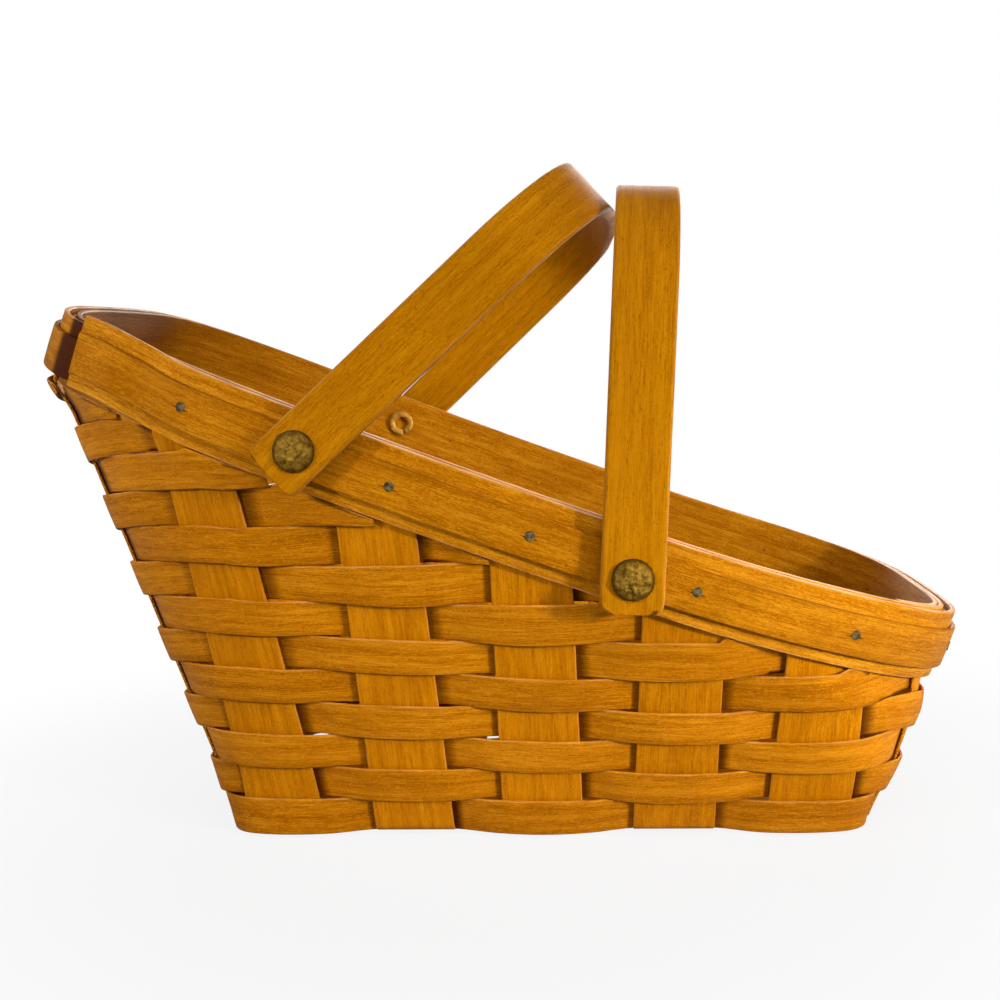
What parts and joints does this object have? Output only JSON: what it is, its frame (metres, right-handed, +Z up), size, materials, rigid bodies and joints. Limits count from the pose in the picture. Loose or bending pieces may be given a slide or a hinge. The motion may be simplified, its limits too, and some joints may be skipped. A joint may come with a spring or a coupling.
{
  "type": "vegetable basket",
  "caption": "Splint-woven vegetable basket with a slanted, lapped wooden rim and two bentwood swing handles on tubular brass rivets.",
  "frame": {"origin": "on the surface the basket stands on, under the middle of its overall box", "axes": "+X along the basket toward its short end, +Y across it toward the far long side, +Z up; the near long side, where the picture was taken from, is -Y"},
  "size_m": [0.3498, 0.2498, 0.2493],
  "materials": {
    "stake_maple": "satin honey stain",
    "weaver_maple": "satin honey stain",
    "rim_maple": "satin honey stain",
    "handle_maple": "satin varnish, lightly scuffed",
    "antique_brass": "hammered antique brass",
    "nail_steel": "dull grey"
  },
  "bodies": {
    "basket": {"cross_stake_1": "stake_maple", "cross_stake_2": "stake_maple", "cross_stake_3": "stake_maple", "cross_stake_4": "stake_maple", "cross_stake_5": "stake_maple", "length_stake_1": "stake_maple", "length_stake_2": "stake_maple", "length_stake_3": "stake_maple", "weaver_01": "weaver_maple", "weaver_02": "weaver_maple", "weaver_03": "weaver_maple", "weaver_04": "weaver_maple", "weaver_05": "weaver_maple", "weaver_06": "weaver_maple", "weaver_07": "weaver_maple", "weaver_08": "weaver_maple", "weaver_09": "weaver_maple", "weaver_10": "weaver_maple", "weaver_11": "weaver_maple", "weaver_12": "weaver_maple", "weaver_13": "weaver_maple", "weaver_14": "weaver_maple", "weaver_15": "weaver_maple", "rim_inner_band": "rim_maple", "rim_outer_band": "rim_maple", "rim_trim_strip": "rim_maple", "nail_01": "nail_steel", "nail_02": "nail_steel", "nail_03": "nail_steel", "nail_04": "nail_steel", "nail_05": "nail_steel", "nail_06": "nail_steel", "nail_07": "nail_steel", "nail_08": "nail_steel", "nail_09": "nail_steel", "nail_10": "nail_steel", "nail_11": "nail_steel", "nail_12": "nail_steel", "nail_13": "nail_steel", "nail_14": "nail_steel", "nail_15": "nail_steel", "nail_16": "nail_steel", "left_near_rivet": "antique_brass", "left_far_rivet": "antique_brass", "right_near_rivet": "antique_brass", "right_far_rivet": "antique_brass"},
    "left_handle": {"left_handle": "handle_maple"},
    "right_handle": {"right_handle": "handle_maple"}
  },
  "joints": [
    {"name": "left_handle_swing", "type": "hinge", "parent": "basket", "child": "left_handle", "pos_m": [-0.06121, 0, 0.15025], "axis": [0, -1, 0], "range_deg": [0, 190]},
    {"name": "right_handle_swing", "type": "hinge", "parent": "basket", "child": "right_handle", "pos_m": [0.05039, 0, 0.10411], "axis": [0, 1, 0], "range_deg": [0, 120]}
  ]
}
